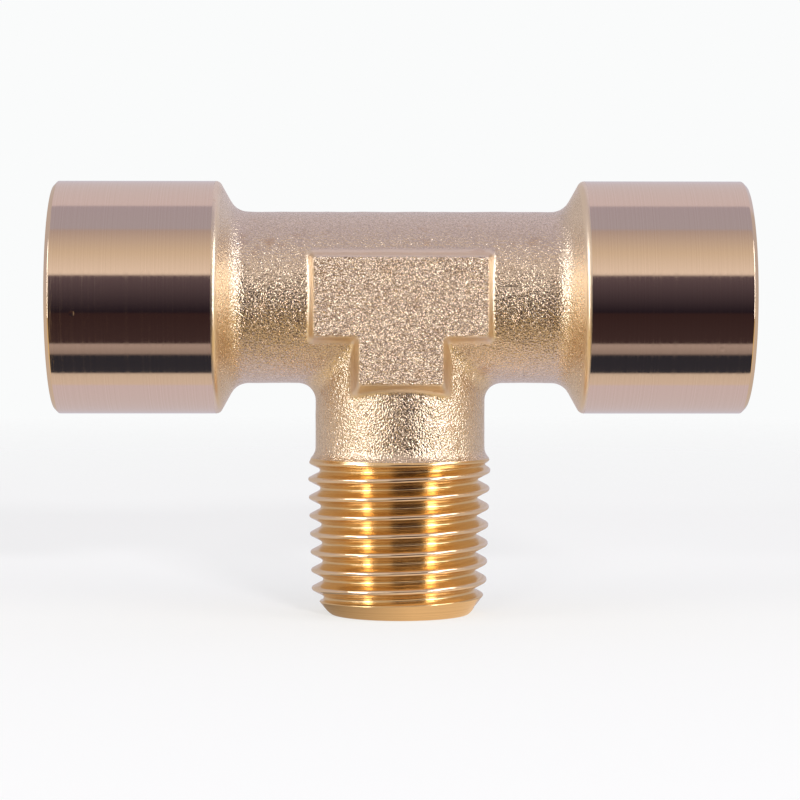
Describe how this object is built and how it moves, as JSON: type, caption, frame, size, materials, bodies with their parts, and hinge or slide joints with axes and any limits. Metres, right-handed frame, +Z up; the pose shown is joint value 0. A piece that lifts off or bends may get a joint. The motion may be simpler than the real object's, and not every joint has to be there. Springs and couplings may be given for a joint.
{
  "type": "pipe tee fitting",
  "caption": "Forged brass pipe tee: two female threaded sockets in line, a male tapered threaded branch, and a T-shaped flat pad on front and back.",
  "frame": {"origin": "centre of the branch's threaded end face, which the fitting stands on", "axes": "+Z up the branch axis to the run, +X along the run through both sockets, +Y out of the back pad; the front pad faces -Y"},
  "size_m": [0.0504, 0.017, 0.0317],
  "materials": {
    "brass": "forged brass, shot-blasted where forged, bright turned on the collars and threads"
  },
  "bodies": {
    "root": {"tee_body": "brass"}
  },
  "joints": []
}
